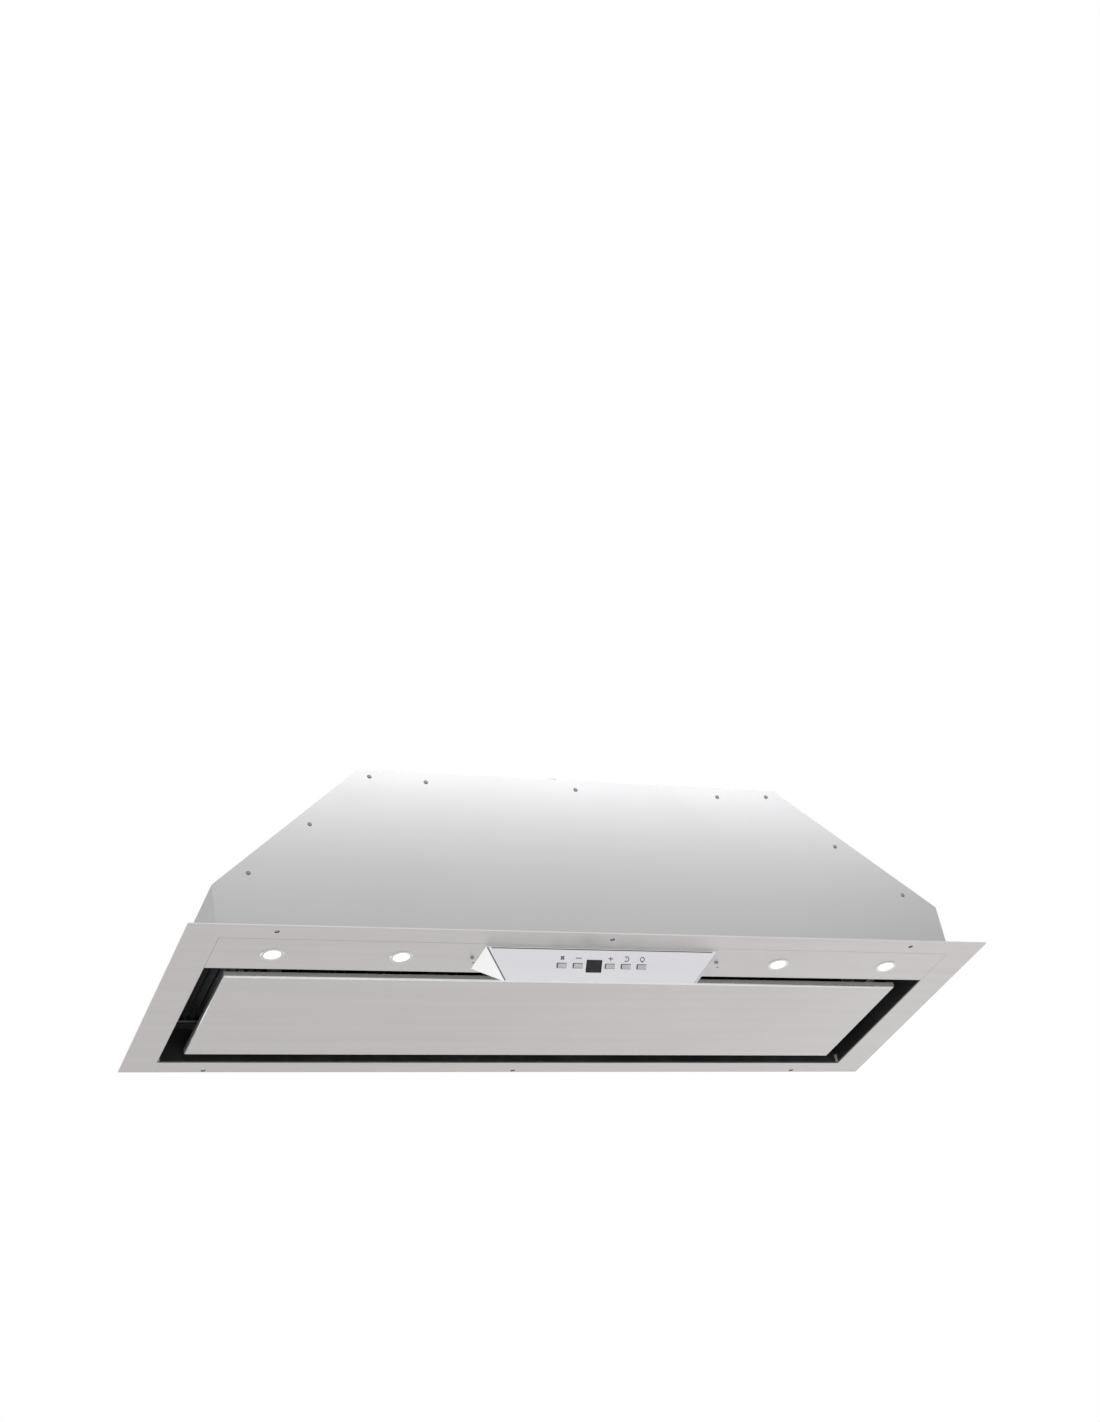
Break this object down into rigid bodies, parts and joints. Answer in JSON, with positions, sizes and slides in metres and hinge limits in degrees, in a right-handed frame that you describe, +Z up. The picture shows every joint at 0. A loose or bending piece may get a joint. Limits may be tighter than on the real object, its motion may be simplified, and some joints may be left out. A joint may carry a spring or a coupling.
{
  "type": "built-in range hood",
  "caption": "Built-in range hood with perimeter suction: steel faceplate, hinged suction panel, lamp strip, control housing with push buttons, tapered casing and duct collar.",
  "frame": {"origin": "centre of the faceplate's top face, which lies against the underside of the cabinet", "axes": "+X along the hood to the right as seen from the front, +Y towards the wall, +Z up towards the duct"},
  "size_m": [1.16, 0.414, 0.3681],
  "materials": {
    "brushed_steel": "brushed",
    "casing_steel": "satin",
    "black_sheet": "matte",
    "zinc_sheet": "satin",
    "filter_alloy": "satin",
    "cover_metal": "brushed",
    "cap_plastic": "satin",
    "key_metal": "satin",
    "dark_plastic": "matte",
    "display_glass": "gloss",
    "board_green": "satin",
    "lens_glow": "satin",
    "bezel_chrome": "polished",
    "screw_steel": "satin",
    "terminal_plastic": "satin",
    "capacitor_shell": "satin"
  },
  "bodies": {
    "hood": {"faceplate": "brushed_steel", "light_strip": "brushed_steel", "strip_brackets": "zinc_sheet", "strip_screws": "screw_steel", "front_wall": "black_sheet", "rear_wall": "black_sheet", "end_walls": "black_sheet", "filter_tray": "zinc_sheet", "filter_rails": "black_sheet", "filter_frame_left": "filter_alloy", "filter_frame_middle": "filter_alloy", "filter_frame_right": "filter_alloy", "filter_meshes": "filter_alloy", "casing_front": "casing_steel", "casing_rear": "casing_steel", "casing_end_left": "casing_steel", "casing_end_right": "casing_steel", "casing_top": "casing_steel", "casing_rivets": "screw_steel", "duct_collar": "zinc_sheet", "collar_screws": "screw_steel", "damper_spindle": "zinc_sheet", "scroll_wrap": "zinc_sheet", "scroll_side_left": "zinc_sheet", "scroll_side_right": "zinc_sheet", "inlet_rings": "zinc_sheet", "blower_brackets": "zinc_sheet", "blower_screws": "screw_steel", "motor": "dark_plastic", "motor_bracket": "zinc_sheet", "motor_capacitor": "capacitor_shell", "electronics_box": "dark_plastic", "electronics_lid": "dark_plastic", "terminal_block": "terminal_plastic", "cable_gland": "dark_plastic", "control_housing": "cover_metal", "control_caps": "cap_plastic", "control_board": "board_green", "display_window": "display_glass", "lamp_bezels": "bezel_chrome", "lamp_lenses": "lens_glow", "lamp_modules": "zinc_sheet", "hinge_brackets": "black_sheet", "hinge_pins": "screw_steel", "panel_catches": "black_sheet"},
    "panel": {"suction_panel": "brushed_steel", "panel_hinge_arms": "zinc_sheet", "panel_strikes": "zinc_sheet"},
    "impeller_set": {"impeller": "zinc_sheet", "motor_shaft": "screw_steel"},
    "damper_front": {"damper_flap_front": "zinc_sheet"},
    "damper_rear": {"damper_flap_rear": "zinc_sheet"},
    "key_fan": {"button_fan": "key_metal"},
    "key_minus": {"button_minus": "key_metal"},
    "key_plus": {"button_plus": "key_metal"},
    "key_timer": {"button_timer": "key_metal"},
    "key_lamp": {"button_lamp": "key_metal"},
    "latch_left": {"filter_latch_left": "dark_plastic"},
    "latch_middle": {"filter_latch_middle": "dark_plastic"},
    "latch_right": {"filter_latch_right": "dark_plastic"}
  },
  "joints": [
    {"name": "panel_swing", "type": "hinge", "parent": "hood", "child": "panel", "pos_m": [0, 0.1428, 0.018], "axis": [1, 0, 0], "range_deg": [0, 85]},
    {"name": "impeller_spin", "type": "hinge", "parent": "hood", "child": "impeller_set", "pos_m": [0, 0.04623, 0.167], "axis": [1, 0, 0], "continuous": true},
    {"name": "damper_front_swing", "type": "hinge", "parent": "hood", "child": "damper_front", "pos_m": [0, 0, 0.2705], "axis": [-1, 0, 0], "range_deg": [0, 75]},
    {"name": "damper_rear_swing", "type": "hinge", "parent": "hood", "child": "damper_rear", "pos_m": [0, 0, 0.2705], "axis": [1, 0, 0], "range_deg": [0, 75]},
    {"name": "fan_press", "type": "slide", "parent": "hood", "child": "key_fan", "axis": [0, 0.7495, 0.662], "range_m": [0, 0.0012], "stiffness_N_per_m": 400, "springref_m": -0.001},
    {"name": "minus_press", "type": "slide", "parent": "hood", "child": "key_minus", "axis": [0, 0.7495, 0.662], "range_m": [0, 0.0012], "stiffness_N_per_m": 400, "springref_m": -0.001},
    {"name": "plus_press", "type": "slide", "parent": "hood", "child": "key_plus", "axis": [0, 0.7495, 0.662], "range_m": [0, 0.0012], "stiffness_N_per_m": 400, "springref_m": -0.001},
    {"name": "timer_press", "type": "slide", "parent": "hood", "child": "key_timer", "axis": [0, 0.7495, 0.662], "range_m": [0, 0.0012], "stiffness_N_per_m": 400, "springref_m": -0.001},
    {"name": "lamp_press", "type": "slide", "parent": "hood", "child": "key_lamp", "axis": [0, 0.7495, 0.662], "range_m": [0, 0.0012], "stiffness_N_per_m": 400, "springref_m": -0.001},
    {"name": "latch_left_slide", "type": "slide", "parent": "hood", "child": "latch_left", "axis": [0, 1, 0], "range_m": [0, 0.006], "stiffness_N_per_m": 300, "springref_m": -0.004},
    {"name": "latch_middle_slide", "type": "slide", "parent": "hood", "child": "latch_middle", "axis": [0, 1, 0], "range_m": [0, 0.006], "stiffness_N_per_m": 300, "springref_m": -0.004},
    {"name": "latch_right_slide", "type": "slide", "parent": "hood", "child": "latch_right", "axis": [0, 1, 0], "range_m": [0, 0.006], "stiffness_N_per_m": 300, "springref_m": -0.004}
  ]
}
